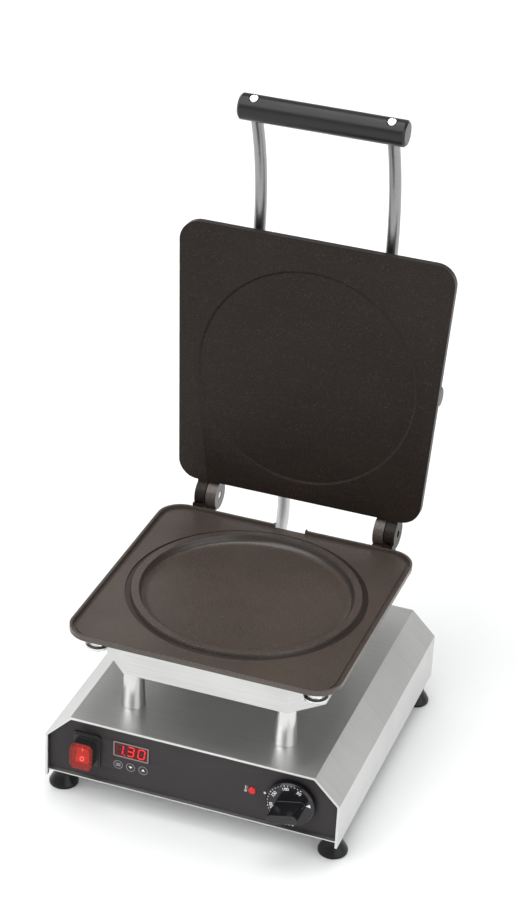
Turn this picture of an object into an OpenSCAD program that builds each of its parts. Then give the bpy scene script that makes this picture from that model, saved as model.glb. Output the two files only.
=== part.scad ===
// Quesadilla maker: steel base cabinet, lower griddle on four legs, hinged upper griddle with a bar handle.
// Drawn with the lid open, in millimetres, standing on z = 0, front towards -Y.

/* [Base cabinet] */
// Width of the cabinet
base_w = 300; // [270:1:340]
// Depth of the cabinet
base_d = 320; // [300:1:360]
// Height of the cabinet's top above the table
base_h = 95; // [88:0.5:120]
// Width and height of the sloped shoulder
shoulder = 25.8; // [15:0.1:30]
// Height of the side walls' lower edge above the table
skirt_z = 21; // [16:0.5:23]
// Height of the floor plate's underside above the table
floor_z = 26.6; // [24:0.1:30]
// Thickness of the sheet steel
sheet = 1.2; // [0.8:0.1:2]
// Thickness of the folded hem round the cabinet's front edge
hem_t = 2.4; // [1.8:0.1:3]
// Depth of the hem
hem_l = 4; // [2:0.5:5]
// Distance of the floor plate's lip behind the cabinet's front edge
lip_inset = 1.5; // [1:0.5:1.5]
// Depth of the fascia behind the cabinet's front edge
fascia_inset = 6; // [5.5:0.5:9]
// Thickness of the fascia
fascia_t = 2; // [1.5:0.1:3]
// Gap between the fascia and the cabinet's walls
fascia_gap = 0.8; // [0.2:0.1:1.2]

/* [Feet] */
// Sideways distance of a foot from the middle
foot_x = 139.8; // [120:0.1:142]
// Lengthways distance of a foot from the middle
foot_y = 137.3; // [110:0.1:142]
// Radius of a foot's lower rim
foot_r = 14.6; // [12:0.1:18]
// Radius of a foot at the top
foot_top_r = 8.6; // [7.5:0.1:8.8]

/* [Power switch] */
// Distance of the switch left of the middle
switch_x = 108.2; // [102:0.1:112]
// Height of the switch's middle above the table
switch_z = 59.9; // [57:0.1:63]
// Width of the switch's frame
switch_w = 28.5; // [26:0.5:30]
// Height of the switch's frame
switch_h = 35.7; // [34:0.1:38]
// How far the frame stands out of the fascia
switch_frame_t = 4; // [3:0.5:6]
// How far the rubber boot stands out of the fascia
boot_proud = 18; // [17:0.5:22]
// Tilt of the rocker to each side
rocker_tilt = 7; // [4:0.5:8]

/* [Timer] */
// Distance of the display left of the middle
display_x = 62.9; // [59:0.1:65]
// Height of the display's middle above the table
display_z = 68; // [67:0.1:71]
// Width of the display's frame
display_w = 36.4; // [32:0.1:38]
// Height of the display's frame
display_h = 16.9; // [14:0.1:18]
// Distance between two keys
key_pitch = 13; // [12:0.1:14]
// Height of the keys above the table
key_z = 50; // [48:0.1:52]
// Radius of a key
key_r = 4.8; // [4:0.1:5.2]
// How far a key goes in
key_travel = 0.5; // [0.3:0.1:0.8]

/* [Thermostat] */
// Distance of the knob right of the middle
knob_x = 101.8; // [96:0.1:107]
// Height of the knob's middle above the table
knob_z = 59.2; // [57:0.1:62]
// Radius of the dial
dial_r = 24.3; // [20:0.1:26]
// Thickness of the dial
dial_t = 8; // [7:0.5:12]
// Length of the finger bar across the dial
bar_l = 31; // [26:0.5:36]
// Thickness of the finger bar
bar_t = 9; // [8:0.5:12]
// How far the finger bar stands out of the dial
bar_proud = 24; // [15:0.5:26]
// Angle of the finger bar above the horizontal
bar_angle = 13; // [0:1:30]
// Radius of the thermostat's shaft
shaft_r = 3; // [2.5:0.1:4]
// Distance of the pilot lamp right of the middle
lamp_x = 61.3; // [57:0.1:65]
// Radius of the pilot lamp
lamp_r = 3.9; // [3:0.1:5]

/* [Legs and tray] */
// Sideways distance of a leg from the middle
leg_x = 78; // [60:0.5:82]
// Lengthways distance of a leg from the middle of the griddle
leg_y = 92; // [70:0.5:94]
// Length of a leg
leg_h = 42; // [30:0.5:60]
// Radius of a leg at the bottom
leg_r = 12; // [10:0.1:14]
// Radius of a leg at the top
leg_top_r = 9.5; // [8.5:0.1:10]
// Half the width of a heater tray
tray_hw = 112.3; // [105:0.1:114]
// Half the depth of a heater tray
tray_hd = 107.5; // [102:0.1:109]
// Length of the cut taken off a heater tray's corners
tray_cut = 29.5; // [24:0.1:30]
// Height of the lower heater tray
tray_h = 42; // [38:0.5:50]

/* [Lower griddle] */
// Side of the lower griddle
plate_side = 272; // [264:1:284]
// Radius of the lower griddle's corners
plate_corner_r = 26; // [20:1:34]
// Middle of the griddle behind the middle of the base, as a negative distance in front
griddle_y = -21; // [-24:0.5:-18]
// Thickness of the slab at its edge
slab_t = 2.7; // [2.4:0.1:5]
// Height of the rim above the slab
rim_h = 3; // [1.5:0.1:3.5]
// Width of the rim
rim_w = 2.6; // [2:0.1:4]
// Width of the channel inside the rim
channel_w = 4; // [3:0.5:6]
// Depth of the channel inside the rim
channel_depth = 1.2; // [0.8:0.1:1.8]
// Outer radius of the channel round the ring
ring_channel_r = 119; // [117:0.5:121]
// Radius of the ring's flat top, outside
ring_top_r = 112.8; // [110:0.1:114]
// Radius of the ring at its foot
ring_foot_r = 114.4; // [114:0.1:116]
// Radius of the filling recess at its mouth
recess_r = 105.1; // [98:0.1:107]
// Radius of the filling recess at its floor
recess_floor_r = 96; // [88:0.1:98]
// Depth of the recess below the ring
recess_depth = 8; // [5:0.1:9]
// Width of the gap in the rear rim
spout_w = 32; // [24:1:50]

/* [Heaters] */
// Thickness of the heater pad under a griddle
pad_t = 7.3; // [5:0.1:9]
// Radius of a heater coil's bend
coil_r = 80; // [70:1:88]
// Radius of a heater coil's tube
coil_tube_r = 4.2; // [3:0.1:5]
// Radius of a casting's boss
boss_r = 8; // [7:0.1:8.5]
// Radius of the leg bolts
bolt_r = 3; // [2.5:0.1:3.5]

/* [Lid] */
// Angle that the lid stands open
open_angle = 92.9; // [85:0.1:100]
// Height of the hinge axis above the closed lid's cooking face
hinge_rise = 6.4; // [6:0.1:9]
// Distance of the hinge axis behind the middle of the base
hinge_y = 134.2; // [133.5:0.1:137]
// Width of the lid at its front edge
lid_front_w = 286; // [270:1:296]
// Width of the lid at the hinge
lid_back_w = 258; // [250:1:286]
// Distance of the lid's front edge from the hinge axis
lid_reach = 297.3; // [290:0.1:302]
// Distance of the lid's back edge from the hinge axis
lid_back_gap = 16.5; // [16:0.1:20]
// Thickness of the lid casting
lid_t = 8; // [6:0.5:10]
// Radius of the shallow recess in the lid's face
lid_recess_r = 114.6; // [112:0.1:116]
// Depth of the shallow recess in the lid's face
lid_recess_depth = 1.2; // [0.6:0.1:2]
// Radius of the lid's corners
lid_corner_r = 21; // [14:1:30]
// Gap between the closed lid and the lower rim
closed_gap = 1.3; // [0.8:0.1:2.5]
// Height of the upper heater hood
hood_h = 54; // [44:0.5:60]
// Distance of the hood's open edge behind the cooking face
hood_offset = 12; // [10:0.5:14]

/* [Hinge] */
// Radius of a hinge knuckle
knuckle_r = 15; // [12:0.1:15.5]
// Radius of the hinge pins
pin_r = 4; // [3:0.1:5]
// Running clearance round the hinge pins
pin_clear = 0.05; // [0.02:0.01:0.1]
// Inner face of the lower griddle's knuckles
knuckle_x = 85; // [75:0.5:88]
// Width of each knuckle
knuckle_w = 11; // [9:0.5:13]
// Side gap between two knuckles
knuckle_gap = 1; // [0.5:0.1:2]

/* [Handle] */
// Sideways distance of a handle rod from the middle
rod_offset = 68.5; // [60:0.5:74]
// Radius of a handle rod
rod_r = 6; // [5:0.1:8]
// Distance of the rods behind the cooking face where they leave the hood
rod_height = 28; // [24:0.5:34]
// Radius of the rods' bend
rod_bend_r = 260; // [200:5:320]
// Angle of the rods' bend
rod_bend = 28; // [20:1:32]
// Length of rod from the bend to the grip's middle
rod_end_l = 14; // [12:0.5:20]
// Distance of the grip from the hinge axis
grip_reach = 425; // [400:1:450]
// Radius of the grip
grip_r = 13; // [11:0.1:16]
// Length of the grip
grip_l = 167; // [155:1:200]

/* [Plate pins] */
// Sideways distance of a plate pin from the middle
spool_x = 110; // [104:0.5:114]
// Distance of a plate pin in front of the middle of the griddle
spool_y = 107; // [103:0.5:112]
// Length of a plate pin
spool_l = 21; // [16:0.5:26]
// Radius of a plate pin's flange
spool_r = 12; // [9:0.1:13]

/* [Conduit] */
// Radius of the braided conduit
conduit_r = 6.5; // [5:0.1:7]
// Distance of the conduit left of the middle
conduit_x = 27; // [15:0.5:40]

/* [Hidden] */
$fn = 64;

steel = [0.80, 0.80, 0.79];
bright = [0.88, 0.88, 0.87];
coated = [0.22, 0.20, 0.19];
black = [0.07, 0.07, 0.07];
dark_grey = [0.17, 0.17, 0.17];
red = [0.75, 0.05, 0.04];
wool = [0.85, 0.82, 0.72];
board_green = [0.10, 0.35, 0.20];

hw = base_w / 2;
hd = base_d / 2;
top_hw = hw - shoulder;
shoulder_z = base_h - shoulder;
miter = sheet * tan(22.5);
fascia_y = -hd + fascia_inset;
fascia_back = fascia_y + fascia_t;
floor_top = floor_z + sheet;
small = 0.3;
tray_z = base_h + leg_h;
tray_top = tray_z + tray_h;
slab_z = tray_top + 4.3;
field_z = slab_z + slab_t;
rim_z = field_z + rim_h;
ring_z = rim_z;
pad_z = slab_z - pad_t;
hinge_z = rim_z + closed_gap + hinge_rise;
face_z = hinge_z - hinge_rise;
lid_top = face_z + lid_t;
ring_y = griddle_y + 4;
plate_back = griddle_y + plate_side / 2;
plate_front = griddle_y - plate_side / 2;
hood_z = face_z + hood_offset;
hood_top = hood_z + hood_h;
rod_z = face_z + rod_height;
grip_y = hinge_y - grip_reach;
bend_y = grip_y + rod_bend_r * sin(rod_bend) + rod_end_l * cos(rod_bend);
grip_z = rod_z - rod_bend_r * (1 - cos(rod_bend)) - rod_end_l * sin(rod_bend);
coil_ends = 24;
knob_front = fascia_y - 1 - dial_t - bar_proud;
hood_reach = hinge_y - ring_y + tray_hd;
rear_reach = hinge_y + hood_reach * sin(open_angle - 90)
    + (hood_top - hinge_z) * cos(open_angle - 90);
origin_y = (rear_reach + knob_front) / 2;

module stand() {
    translate([0, -origin_y, 0])
        children();
}

module lid_pose() {
    stand()
        translate([0, hinge_y, hinge_z])
            rotate([-open_angle, 0, 0])
                translate([0, -hinge_y, -hinge_z])
                    children();
}

// Turns a front view, drawn with x right and y up, into a panel whose front is at y = front.
module panel(front, thick) {
    translate([0, front + thick, 0])
        rotate([90, 0, 0])
            linear_extrude(thick)
                children();
}

// A round bar along Y, from the front to the back.
module rod_y(x, front, z, r, length) {
    translate([x, front, z])
        rotate([-90, 0, 0])
            cylinder(h = length, r = r);
}

// A round bar along X.
module rod_x(x, y, z, r, length) {
    translate([x, y, z])
        rotate([0, 90, 0])
            cylinder(h = length, r = r);
}

module box_at(x0, x1, y0, y1, z0, z1) {
    translate([x0, y0, z0])
        cube([x1 - x0, y1 - y0, z1 - z0]);
}

module round_rect(w, d, r) {
    hx = w / 2 - r;
    hy = d / 2 - r;
    union() {
        square([w, d - 2 * r], center = true);
        square([w - 2 * r, d], center = true);
        for (sx = [-1, 1], sy = [-1, 1])
            translate([sx * hx, sy * hy])
                circle(r);
    }
}

module octagon(half_w, half_d, cut) {
    polygon([
        [-half_w, -half_d + cut], [-half_w + cut, -half_d],
        [half_w - cut, -half_d], [half_w, -half_d + cut],
        [half_w, half_d - cut], [half_w - cut, half_d],
        [-half_w + cut, half_d], [-half_w, half_d - cut]]);
}

// Inside outline of the cabinet, as seen from the front, for a wall of the given thickness.
module cabinet_inside(bottom, wall = sheet) {
    slant = wall * tan(22.5);
    polygon([
        [-hw + wall, bottom], [hw - wall, bottom],
        [hw - wall, shoulder_z - slant], [top_hw - slant, base_h - wall],
        [-top_hw + slant, base_h - wall], [-hw + wall, shoulder_z - slant]]);
}

module leg_places() {
    for (sx = [-1, 1], sy = [-1, 1])
        translate([sx * leg_x, griddle_y + sy * leg_y, 0])
            children();
}

// Base cabinet

module base_cover() {
    color(steel)
        stand()
            difference() {
                panel(-hd, base_d)
                    polygon([
                        [-hw, skirt_z], [hw, skirt_z], [hw, shoulder_z],
                        [top_hw, base_h], [-top_hw, base_h], [-hw, shoulder_z]]);
                panel(-hd - 1, base_d + 2)
                    cabinet_inside(skirt_z - 1, hem_t);
                panel(-hd + hem_l, base_d)
                    cabinet_inside(skirt_z - 1);
                leg_places()
                    cylinder(h = base_h + 1, r = bolt_r);
                translate([-conduit_x, conduit_foot_y, base_h - 5])
                    cylinder(h = 10, r = gland_r);
                translate([0, griddle_y, base_h - 5])
                    cylinder(h = 10, r = wire_hole_r);
            }
}

module base_floor() {
    flange = 12;
    color(steel)
        stand()
            difference() {
                union() {
                    box_at(-hw + sheet, hw - sheet, -hd + hem_l + small, hd - 2, floor_z, floor_top);
                    box_at(-hw + hem_t + small, hw - hem_t - small, -hd + lip_inset, -hd + hem_l + 1,
                        floor_z, floor_top);
                    for (side = [0, 1])
                        mirror([side, 0, 0])
                            box_at(hw - 2 * sheet, hw - sheet, fascia_back, hd - 2 - sheet,
                                floor_z, floor_top + flange);
                }
                foot_places()
                    translate([0, 0, floor_z - 1])
                        cylinder(h = sheet + 2, r = foot_bolt_r);
                for (i = [-4:4])
                    box_at(i * 12 - 2, i * 12 + 2, -60, 0, floor_z - 1, floor_top + 1);
            }
}

module front_fascia() {
    color(dark_grey)
        stand()
            difference() {
                panel(fascia_y, fascia_t)
                    cabinet_inside(floor_top, sheet + fascia_gap);
                box_at(-switch_x - switch_cut_w / 2, -switch_x + switch_cut_w / 2,
                    fascia_y - 1, fascia_back + 1,
                    switch_z - switch_cut_h / 2, switch_z + switch_cut_h / 2);
                box_at(-display_x - window_w / 2, -display_x + window_w / 2,
                    fascia_y - 1, fascia_back + 1,
                    display_z - window_h / 2, display_z + window_h / 2);
                for (i = [-1:1])
                    rod_y(-display_x + i * key_pitch, fascia_y - 1, key_z, key_r + small, fascia_t + 2);
                rod_y(lamp_x, fascia_y - 1, knob_z, lamp_r, fascia_t + 2);
                rod_y(knob_x, fascia_y - 1, knob_z, shaft_r + 2, fascia_t + 2);
            }
}

inlet_x = 92;
inlet_z = 52;
inlet_r = 8;

module rear_panel() {
    slots = 9;
    slot_gap = 11;
    color(steel)
        stand()
            difference() {
                panel(hd - 2 - sheet, sheet)
                    cabinet_inside(floor_top);
                rod_y(inlet_x, hd - 10, inlet_z, inlet_r, 20);
                for (row = [0, 1], i = [0:slots - 1])
                    box_at(-100 + i * slot_gap, -96 + i * slot_gap, hd - 10, hd,
                        40 + row * 22, 54 + row * 22);
            }
}

// Feet

foot_bolt_r = 2.5;
foot_head_r = 5;
foot_well = 14;

module foot_places() {
    for (sx = [-1, 1], sy = [-1, 1])
        translate([sx * foot_x, sy * foot_y, 0])
            children();
}

module foot(sx, sy) {
    color(black)
        stand()
            translate([sx * foot_x, sy * foot_y, 0])
                rotate_extrude()
                    polygon([
                        [foot_head_r, 0], [foot_r - 0.8, 0], [foot_r, 0.8], [foot_r, 3],
                        [foot_r - 1.2, 5.5], [foot_top_r + 1, 12], [foot_top_r, 16],
                        [foot_top_r, floor_z], [foot_bolt_r, floor_z],
                        [foot_bolt_r, foot_well], [foot_head_r, foot_well]]);
}

module foot_screws() {
    head_t = 3;
    thread = floor_z - foot_well + sheet + 6;
    color(bright)
        stand()
            foot_places()
                union() {
                    translate([0, 0, foot_well - head_t])
                        cylinder(h = head_t, r = foot_head_r - 0.5);
                    translate([0, 0, foot_well])
                        cylinder(h = thread, r = foot_bolt_r);
                    translate([0, 0, floor_top])
                        cylinder(h = 4, r = 4.4, $fn = 6);
                }
}

// Power switch

switch_cut_w = 22;
switch_cut_h = 30;
boot_wall = 1.4;
boot_w = 20;
boot_h = 25;
boot_corner_r = 4.4;
neck_wall = 1.2;
cap_t = 3.4;
rocker_pivot_y = -2.5;

module switch_at() {
    stand()
        translate([-switch_x, fascia_y, switch_z])
            children();
}

// Front view of the boot, made wider all round by the given amount.
module boot_shape(wider) {
    round_rect(boot_w + 2 * wider, boot_h + 2 * wider, boot_corner_r + wider);
}

// A stepped frame with a neck that the boot stands in.
module switch_frame() {
    step = 1.6;
    neck_l = boot_proud - cap_t - 0.2;
    color(black)
        switch_at()
            difference() {
                union() {
                    panel(-switch_frame_t + step, switch_frame_t - step)
                        round_rect(switch_w, switch_h, 3);
                    panel(-switch_frame_t, step)
                        round_rect(switch_w - 3, switch_h - 3, 1.2);
                    panel(-neck_l, neck_l)
                        boot_shape(neck_wall);
                }
                panel(-neck_l - 1, neck_l + 2)
                    boot_shape(small / 2);
                panel(-1.2, 2)
                    square([boot_w + 3.4, boot_h + 3.4], center = true);
            }
}

module switch_boot() {
    inner_w = boot_w - 2 * boot_wall;
    inner_h = boot_h - 2 * boot_wall;
    color(red)
        switch_at()
            difference() {
                union() {
                    panel(-boot_proud, boot_proud)
                        boot_shape(0);
                    panel(-boot_proud, cap_t)
                        boot_shape(neck_wall);
                    panel(-1, 1)
                        square([boot_w + 3, boot_h + 3], center = true);
                }
                panel(-boot_proud + boot_wall, boot_proud + 1)
                    round_rect(inner_w, inner_h, boot_corner_r - boot_wall);
            }
}

module switch_rocker() {
    half_w = 6.9;
    color([0.95, 0.10, 0.06])
        switch_at()
            translate([0, rocker_pivot_y, 0])
                rotate([-rocker_tilt, 0, 0])
                    union() {
                        translate([-half_w, 0, 0])
                            rotate([90, 0, 90])
                                linear_extrude(2 * half_w)
                                    polygon([
                                        [3.2, -5], [3.2, 5], [-5, 9.4], [-11, 9],
                                        [-8.6, 0], [-11, -9], [-5, -9.4]]);
                        rod_x(-half_w - 1.2, 0, 0, 1.5, 2 * half_w + 2.4);
                    }
}

module switch_body() {
    depth = 26;
    ear = 1.1;
    lug_w = 7.1;
    color(black)
        switch_at()
            difference() {
                union() {
                    box_at(-switch_cut_w / 2, switch_cut_w / 2, 2, depth,
                        -switch_cut_h / 2, switch_cut_h / 2);
                    box_at(-lug_w - ear, lug_w + ear, rocker_pivot_y - 2.6, 2, -5, 5);
                }
                box_at(-lug_w, lug_w, rocker_pivot_y - 4, 2, -12, 12);
                box_at(-lug_w, lug_w, 1, 6, -12, 12);
                rod_x(-12, rocker_pivot_y, 0, 1.55, 24);
            }
    color(bright)
        switch_at()
            for (z = [-9, 9])
                box_at(-3, 3, depth, depth + 8, z - 0.4, z + 0.4);
}

// Timer

window_w = display_w - 2.4;
window_h = display_h - 2.4;
board_y = 12;

module timer_at() {
    stand()
        translate([-display_x, fascia_y, 0])
            children();
}

module display_frame() {
    color([0.75, 0.76, 0.76])
        timer_at()
            translate([0, 0, display_z])
                difference() {
                    panel(-0.6, 0.6)
                        round_rect(display_w, display_h, 1);
                    panel(-2, 3)
                        square([window_w, window_h], center = true);
                }
}

module display_window() {
    color([0.30, 0.02, 0.02])
        timer_at()
            translate([0, 0, display_z])
                panel(-0.2, fascia_t)
                    square([window_w, window_h], center = true);
}

module display_module() {
    color(dark_grey)
        timer_at()
            box_at(-window_w / 2 + 1, window_w / 2 - 1, fascia_t, board_y,
                display_z - window_h / 2 + 0.5, display_z + window_h / 2 - 0.5);
}

// The circuit board stands behind the fascia on four posts and carries one small push switch behind each key.
module control_board() {
    board_w = 62;
    below_keys = 11;
    above_display = 13;
    board_low = key_z - below_keys;
    board_high = display_z + above_display;
    color(board_green)
        timer_at()
            union() {
                box_at(-board_w / 2, board_w / 2, board_y, board_y + 1.6, board_low, board_high);
                for (i = [-1:1])
                    box_at(i * key_pitch - 3, i * key_pitch + 3, board_y - 3, board_y, key_z - 3, key_z + 3);
                for (sx = [-1, 1], z = [board_low + 4, board_high - 4])
                    rod_y(sx * (board_w / 2 - 4), fascia_t, z, 2.5, board_y - fascia_t);
                box_at(-14, 6, board_y + 1.6, board_y + 17, board_low + 4, board_low + 22);
            }
}

module key(index) {
    collar_gap = 0.3;
    stem_end = board_y - 3 - key_travel - 0.2;
    color(dark_grey)
        timer_at()
            translate([index * key_pitch, 0, key_z])
                rotate([-90, 0, 0])
                    union() {
                        translate([0, 0, -0.4])
                            cylinder(h = fascia_t + 0.8, r = key_r);
                        translate([0, 0, fascia_t + collar_gap])
                            cylinder(h = 1, r = key_r + 1);
                        cylinder(h = stem_end, r = 1.8);
                    }
}

// Thermostat

module knob_at() {
    stand()
        translate([knob_x, fascia_y, knob_z])
            children();
}

module pilot_lamp() {
    color(red)
        stand()
            translate([lamp_x, fascia_y, knob_z])
                rotate([-90, 0, 0])
                    union() {
                        translate([0, 0, -0.8])
                            cylinder(h = fascia_t + 0.8, r = lamp_r);
                        translate([0, 0, -1.6])
                            cylinder(h = 0.8, r1 = lamp_r - 0.8, r2 = lamp_r);
                        translate([0, 0, fascia_t])
                            cylinder(h = 18, r = lamp_r + 1);
                    }
}

module thermostat_knob() {
    bore_l = dial_t - 2;
    color(black)
        knob_at()
            difference() {
                union() {
                    translate([0, -1, 0])
                        rotate([90, 0, 0])
                            cylinder(h = dial_t - 2, r = dial_r);
                    translate([0, -1 - dial_t + 2, 0])
                        rotate([90, 0, 0])
                            cylinder(h = 2, r1 = dial_r, r2 = dial_r - 2);
                    rotate([0, -bar_angle, 0])
                        union() {
                            box_at(-bar_l / 2 + bar_t / 2, bar_l / 2 - bar_t / 2,
                                -1 - dial_t - bar_proud, -dial_t, -bar_t / 2, bar_t / 2);
                            for (sx = [-1, 1])
                                rod_y(sx * (bar_l - bar_t) / 2, -1 - dial_t - bar_proud, 0,
                                    bar_t / 2, bar_proud + 1);
                        }
                }
                rod_y(0, -1 - bore_l, 0, shaft_r, bore_l + 1);
            }
}

module thermostat_shaft() {
    shaft_tail = 11;
    color(bright)
        knob_at()
            rod_y(0, 1 - dial_t, 0, shaft_r, dial_t + shaft_tail);
}

module thermostat_body() {
    neck_l = 4;
    case_r = 19;
    case_l = 22;
    ear_reach = 24;
    case_end = fascia_t + neck_l + case_l;
    color([0.82, 0.80, 0.74])
        knob_at()
            difference() {
                union() {
                    rod_y(0, fascia_t, 0, 9, neck_l);
                    rod_y(0, fascia_t + neck_l, 0, case_r, case_l);
                    box_at(-ear_reach, ear_reach, fascia_t, fascia_t + 1.2, -6, 6);
                    for (z = [-10, 10])
                        box_at(-4, 4, case_end, case_end + 8, z - 0.5, z + 0.5);
                }
                rod_y(0, fascia_t - 1, 0, shaft_r + 0.05, 14);
            }
}

module terminal_block() {
    ways = 4;
    way_w = 12;
    color([0.90, 0.88, 0.80])
        stand()
            translate([40, 90, floor_top])
                difference() {
                    box_at(0, ways * way_w, 0, 20, 0, 14);
                    for (i = [0:ways - 1]) {
                        translate([(i + 0.5) * way_w, 5, 6])
                            cylinder(h = 10, r = 2);
                        translate([(i + 0.5) * way_w, 15, 6])
                            cylinder(h = 10, r = 2);
                        rod_y((i + 0.5) * way_w, -1, 7, 2.4, 22);
                    }
                }
}

module overheat_limiter() {
    color(black)
        stand()
            translate([-60, 100, floor_top])
                union() {
                    box_at(-12, 12, -10, 10, 0, 22);
                    cylinder(h = 26, r = 7);
                    for (sx = [-1, 1])
                        box_at(sx * 9 - 0.5, sx * 9 + 0.5, -3, 3, 22, 30);
                }
}

// Cable entries

gland_r = 8;
gland_h = 15;
wire_hole_r = 9;
conduit_foot_y = hd - 12;
upper_gland_off = 36.5;

module gland(inner_r) {
    difference() {
        union() {
            translate([0, 0, -6])
                cylinder(h = 6, r = gland_r);
            cylinder(h = 6, r = gland_r + 3, $fn = 6);
            translate([0, 0, 6])
                cylinder(h = gland_h - 6, r1 = gland_r + 1.6, r2 = inner_r + 1);
        }
        translate([0, 0, -7])
            cylinder(h = gland_h + 8, r = inner_r);
    }
}

module mains_inlet() {
    color(black)
        stand()
            translate([inlet_x, hd - 2, inlet_z])
                rotate([-90, 0, 0])
                    difference() {
                        union() {
                            translate([0, 0, -8])
                                cylinder(h = 8, r = inlet_r);
                            cylinder(h = 4, r = inlet_r + 2.5);
                            translate([0, 0, -8])
                                cylinder(h = 8 - sheet, r = inlet_r + 3, $fn = 6);
                        }
                        translate([0, 0, -9])
                            cylinder(h = 20, r = 4);
                    }
}

module lower_gland() {
    color(bright)
        stand()
            translate([-conduit_x, conduit_foot_y, base_h])
                gland(conduit_r - 1.5);
}

module upper_gland() {
    color(bright)
        lid_pose()
            translate([-conduit_x, ring_y + tray_hd, face_z + upper_gland_off])
                rotate([-90, 0, 0])
                    gland(conduit_r - 1.5);
}

// The conduit's middle line from the lower gland to the upper one, as [y, z] before the shift to the origin.
lean = open_angle - 90;
gland_reach = hinge_y - ring_y - tray_hd - gland_h - 0.4;
gland_back = upper_gland_off - hinge_rise;
conduit_top = [
    hinge_y + gland_reach * sin(lean) + gland_back * cos(lean),
    hinge_z + gland_reach * cos(lean) - gland_back * sin(lean)];
conduit_low = [conduit_foot_y, base_h + gland_h];
conduit_bulge = 13;
conduit_steps = 28;

function conduit_mid(t) = [
    conduit_low[0] + (conduit_top[0] - conduit_low[0]) * (t * t * (3 - 2 * t))
        + conduit_bulge * pow(sin(180 * t), 2),
    conduit_low[1] + (conduit_top[1] - conduit_low[1]) * t];

function conduit_slope(t) =
    let (a = conduit_mid(max(0, t - 0.01)), b = conduit_mid(min(1, t + 0.01)))
    t == 0 ? 0 : t == 1 ? lean : atan2(b[0] - a[0], b[1] - a[1]);

module conduit() {
    sides = 12;
    rings = [for (i = [0:conduit_steps])
        let (t = i / conduit_steps, m = conduit_mid(t), s = conduit_slope(t))
        [for (k = [0:sides - 1])
            let (a = 360 * k / sides)
            [-conduit_x + conduit_r * cos(a),
                m[0] + conduit_r * sin(a) * cos(s),
                m[1] - conduit_r * sin(a) * sin(s)]]];
    points = [for (ring = rings) for (p = ring) p];
    last = conduit_steps * sides;
    walls = [for (i = [0:conduit_steps - 1], k = [0:sides - 1])
        let (n = (k + 1) % sides)
        [i * sides + k, (i + 1) * sides + k, (i + 1) * sides + n, i * sides + n]];
    ends = [[for (k = [0:sides - 1]) k], [for (k = [sides - 1:-1:0]) last + k]];
    color(bright)
        stand()
            polyhedron(points, concat(walls, ends));
}

// Carries the heater wires from the cabinet up into the lower tray.
module wire_tube() {
    color(steel)
        stand()
            translate([0, griddle_y, base_h - sheet - 3])
                difference() {
                    cylinder(h = leg_h + 2 * sheet + 6, r = wire_hole_r);
                    translate([0, 0, -1])
                        cylinder(h = leg_h + 2 * sheet + 8, r = wire_hole_r - 1.5);
                }
}

// Legs and heater trays

module leg(sx, sy) {
    color(bright)
        stand()
            translate([sx * leg_x, griddle_y + sy * leg_y, base_h])
                difference() {
                    cylinder(h = leg_h, r1 = leg_r, r2 = leg_top_r);
                    translate([0, 0, -1])
                        cylinder(h = leg_h + 2, r = bolt_r);
                }
}

module leg_bolts() {
    head_t = 4;
    reach = leg_h + 20;
    color(bright)
        stand()
            leg_places()
                union() {
                    translate([0, 0, base_h - sheet - head_t])
                        cylinder(h = head_t, r = 6, $fn = 6);
                    translate([0, 0, base_h - sheet])
                        cylinder(h = reach + sheet, r = bolt_r);
                }
}

module lower_tray() {
    color(steel)
        stand()
            difference() {
                translate([0, griddle_y, tray_z])
                    linear_extrude(tray_h)
                        octagon(tray_hw, tray_hd, tray_cut);
                translate([0, griddle_y, tray_z + sheet])
                    linear_extrude(tray_h)
                        octagon(tray_hw - sheet, tray_hd - sheet, tray_cut - miter);
                leg_places()
                    cylinder(h = tray_z + 5, r = bolt_r);
                translate([0, griddle_y, tray_z - 1])
                    cylinder(h = 4, r = wire_hole_r);
            }
}

// A ring-shaped heater with two terminal posts, which stand up or down from it.
module heater_coil(z, up) {
    post_r = coil_tube_r - 1.2;
    union() {
        translate([0, 0, z])
            rotate_extrude($fn = 96)
                translate([coil_r, 0])
                    circle(coil_tube_r, $fn = 32);
        for (a = [-8, 8])
            rotate([0, 0, a + 90])
                translate([coil_r, 0, up > 0 ? z : z - coil_ends])
                    cylinder(h = coil_ends, r = post_r);
    }
}

module lower_heater() {
    color([0.35, 0.33, 0.31])
        stand()
            translate([0, griddle_y, 0])
                heater_coil(pad_z - coil_tube_r, -1);
}

module wool_block(low, high, boss_x, boss_y) {
    margin = sheet + small;
    difference() {
        translate([0, 0, low])
            linear_extrude(high - low)
                octagon(tray_hw - margin, tray_hd - margin, tray_cut - miter);
        for (sx = [-1, 1], sy = [-1, 1])
            translate([sx * boss_x, sy * boss_y, low - 1])
                cylinder(h = high - low + 2, r = boss_r + small);
        translate([0, 0, low - 1])
            cylinder(h = high - low + 2, r = wire_hole_r);
    }
}

module lower_insulation() {
    high = pad_z - 2 * coil_tube_r - coil_ends + coil_tube_r;
    color(wool)
        stand()
            translate([0, griddle_y, 0])
                wool_block(tray_z + sheet, high, leg_x, leg_y);
}

// Lower griddle

module knuckle(x0, low_z, high_z) {
    difference() {
        union() {
            rod_x(x0, hinge_y, hinge_z, knuckle_r, knuckle_w);
            box_at(x0, x0 + knuckle_w, plate_back - 8, hinge_y, low_z, high_z);
        }
        rod_x(x0 - 1, hinge_y, hinge_z, pin_r, knuckle_w + 2);
    }
}

stop_x = knuckle_x + knuckle_w + knuckle_gap;

// The filling recess: a flat floor that curves up into a steep wall.
module recess_cut() {
    lip = 2;
    across = recess_r - 1 - recess_floor_r;
    up = recess_depth - lip;
    rotate_extrude($fn = 128)
        polygon(concat(
            [[0, 0]],
            [for (a = [0:15:90]) [recess_floor_r + across * sin(a), up * (1 - cos(a))]],
            [[recess_r, recess_depth], [0, recess_depth]]));
}

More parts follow.
